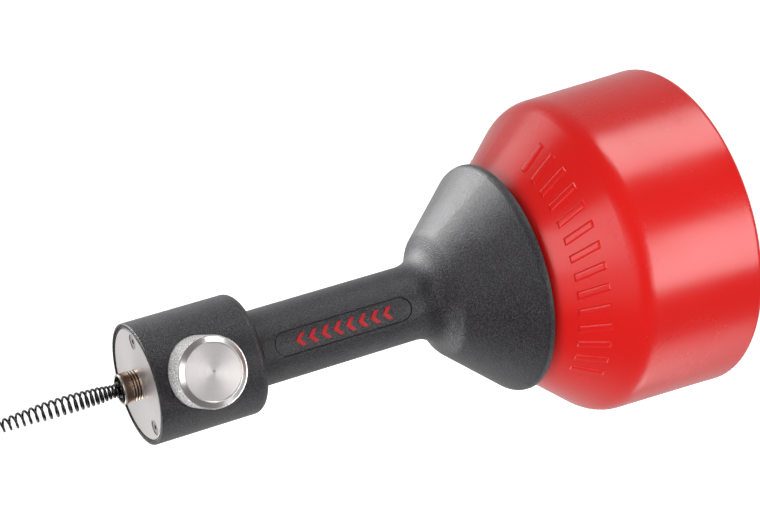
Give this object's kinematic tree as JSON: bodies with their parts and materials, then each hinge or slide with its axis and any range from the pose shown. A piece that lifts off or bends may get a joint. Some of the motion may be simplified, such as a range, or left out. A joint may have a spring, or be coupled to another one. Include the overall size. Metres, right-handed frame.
{
  "type": "drain snake machine",
  "caption": "Hand-held drain snake with a closed drum, a black handle with a flared cone, a push-button cable feed in its round head, and a folding crank behind.",
  "frame": {"origin": "centre of the drum's rear rim, on the plane that the rim stands on", "axes": "+Z along the spin axis, from the drum to the nozzle. The push button faces -Y. +X completes the right-handed frame"},
  "size_m": [0.1798, 0.1798, 0.4096],
  "materials": {
    "black_body": "fine moulded grain, soft sheen",
    "badge_plate": "satin inlay",
    "badge_red": "raised enamel",
    "nickel": "satin nickel plate, turned",
    "screw_steel": "zinc plated",
    "nozzle_metal": "turned, light nickel",
    "die_cast": "die cast",
    "turned_steel": "turned",
    "hardened_steel": "ground and hardened",
    "turned_aluminium": "fine turned face, polished bevel",
    "spring_steel": "oiled spring steel",
    "bearing_bronze": "sintered bronze",
    "red_drum": "satin moulded red",
    "black_cover": "moulded",
    "black_knob": "fine grain",
    "cable_steel": "coiled spring wire"
  },
  "bodies": {
    "handle": {"handle_housing": "black_body", "grip_badge": "badge_plate", "badge_marks": "badge_red", "front_plate": "nickel", "plate_screws": "screw_steel", "nozzle": "nozzle_metal", "feed_block": "die_cast", "fixed_axles": "turned_steel", "button_guide": "die_cast", "guide_screws": "screw_steel", "button_spring": "spring_steel", "guide_tube": "turned_steel", "spindle": "turned_steel", "spindle_screws": "screw_steel", "thrust_washer": "bearing_bronze", "retaining_ring": "spring_steel"},
    "drum": {"drum_shell": "red_drum", "front_bush": "bearing_bronze", "rear_bush": "bearing_bronze", "rear_cover": "black_cover", "cover_screws": "screw_steel", "drive_shaft": "turned_steel", "drive_screws": "screw_steel", "crank_pin": "turned_steel", "cable_clamp": "black_cover", "cable_coil": "cable_steel", "cable_lead": "cable_steel", "auger_coil": "cable_steel", "auger_tip": "cable_steel"},
    "button": {"push_button": "turned_aluminium", "button_plunger": "die_cast", "plunger_axle": "turned_steel"},
    "left_roller": {"left_feed_roller": "hardened_steel"},
    "right_roller": {"right_feed_roller": "hardened_steel"},
    "moving_roller": {"moving_feed_roller": "hardened_steel"},
    "crank": {"crank_lever": "turned_steel", "knob_screw": "screw_steel"},
    "crank_grip": {"crank_knob": "black_knob"}
  },
  "joints": [
    {"name": "drum_spin", "type": "hinge", "parent": "handle", "child": "drum", "pos_m": [0, 0, 0.1], "axis": [0, 0, 1], "continuous": true},
    {"name": "button_press", "type": "slide", "parent": "handle", "child": "button", "axis": [0, 1, 0], "range_m": [0, 0.006], "stiffness_N_per_m": 900, "springref_m": -0.002, "deforming": ["button_spring"]},
    {"name": "left_roller_spin", "type": "hinge", "parent": "handle", "child": "left_roller", "pos_m": [-0.00823, 0.00475, 0.298], "axis": [-0.2113, -0.366, 0.9063], "continuous": true},
    {"name": "right_roller_spin", "type": "hinge", "parent": "handle", "child": "right_roller", "pos_m": [0.00823, 0.00475, 0.298], "axis": [-0.2113, 0.366, 0.9063], "continuous": true},
    {"name": "moving_roller_spin", "type": "hinge", "parent": "button", "child": "moving_roller", "pos_m": [0, -0.0155, 0.298], "axis": [0.4226, 0, 0.9063], "continuous": true},
    {"name": "crank_fold", "type": "hinge", "parent": "drum", "child": "crank", "pos_m": [-0.034, 0.038, 0.0215], "axis": [0, 1, 0], "range_deg": [0, 90]},
    {"name": "knob_spin", "type": "hinge", "parent": "crank", "child": "crank_grip", "pos_m": [0, 0.038, 0.0215], "axis": [1, 0, 0], "continuous": true}
  ]
}
